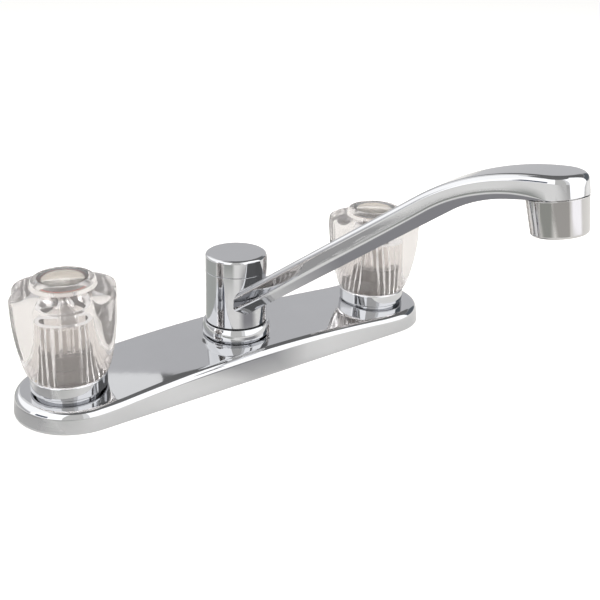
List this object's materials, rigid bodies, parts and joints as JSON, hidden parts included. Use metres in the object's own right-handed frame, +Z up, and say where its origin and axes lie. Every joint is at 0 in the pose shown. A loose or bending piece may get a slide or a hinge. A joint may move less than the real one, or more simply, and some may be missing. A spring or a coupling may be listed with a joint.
{
  "type": "two-handle kitchen faucet",
  "caption": "Chrome kitchen faucet with a swivelling low-arc spout between two clear lobed knobs on a long oval deck plate.",
  "frame": {"origin": "on the sink deck plane, on the spout's swivel axis, midway between the two handles", "axes": "+Z up, -Y to the front of the sink, +X along the deck plate from the hot handle to the cold handle"},
  "size_m": [0.259, 0.2113, 0.1884],
  "materials": {
    "chrome": "polished",
    "aerator_chrome": "polished",
    "clear_acrylic": "clear, polished",
    "button_acrylic": "clear, polished",
    "index_plate": "pale, satin",
    "hot_ring": "red",
    "cold_ring": "pale blue",
    "brass": "machined",
    "copper": "drawn copper tube",
    "nickel": "nickel plated",
    "steel": "stainless",
    "stem_plastic": "acetal",
    "white_nylon": "moulded",
    "dark_nylon": "moulded",
    "black_rubber": "moulded"
  },
  "bodies": {
    "faucet_base": {"deck_plate": "chrome", "deck_gasket": "black_rubber", "spout_post": "brass", "spout_o_rings": "black_rubber", "spout_base_ring": "chrome", "spout_bearing_washer": "dark_nylon", "spout_retaining_washer": "steel", "spout_retaining_nut": "brass", "mounting_washers": "steel", "mounting_nuts": "white_nylon", "hot_valve_body": "brass", "hot_crossover_tube": "copper", "hot_valve_seat": "black_rubber", "hot_seat_spring": "steel", "hot_bonnet_nut": "nickel", "hot_handle_collar": "chrome", "cold_valve_body": "brass", "cold_crossover_tube": "copper", "cold_valve_seat": "black_rubber", "cold_seat_spring": "steel", "cold_bonnet_nut": "nickel", "cold_handle_collar": "chrome"},
    "hot_handle": {"hot_valve_stem": "stem_plastic", "hot_stem_o_ring": "black_rubber", "hot_knob": "clear_acrylic", "hot_handle_screw": "steel", "hot_index_plate": "index_plate", "hot_index_ring": "hot_ring", "hot_index_button": "button_acrylic"},
    "cold_handle": {"cold_valve_stem": "stem_plastic", "cold_stem_o_ring": "black_rubber", "cold_knob": "clear_acrylic", "cold_handle_screw": "steel", "cold_index_plate": "index_plate", "cold_index_ring": "cold_ring", "cold_index_button": "button_acrylic"},
    "spout_assembly": {"spout": "chrome", "spout_cap": "chrome", "aerator_housing": "aerator_chrome", "aerator_insert": "white_nylon", "aerator_screen": "steel", "aerator_washer": "black_rubber"}
  },
  "joints": [
    {"name": "spout_swivel", "type": "hinge", "parent": "faucet_base", "child": "spout_assembly", "pos_m": [0, 0, 0], "axis": [0, 0, 1], "range_deg": [-106.7, 73.3]},
    {"name": "hot_handle_turn", "type": "hinge", "parent": "faucet_base", "child": "hot_handle", "pos_m": [-0.1016, 0, 0], "axis": [0, 0, 1], "range_deg": [0, 90]},
    {"name": "cold_handle_turn", "type": "hinge", "parent": "faucet_base", "child": "cold_handle", "pos_m": [0.1016, 0, 0], "axis": [0, 0, 1], "range_deg": [-90, 0]}
  ]
}
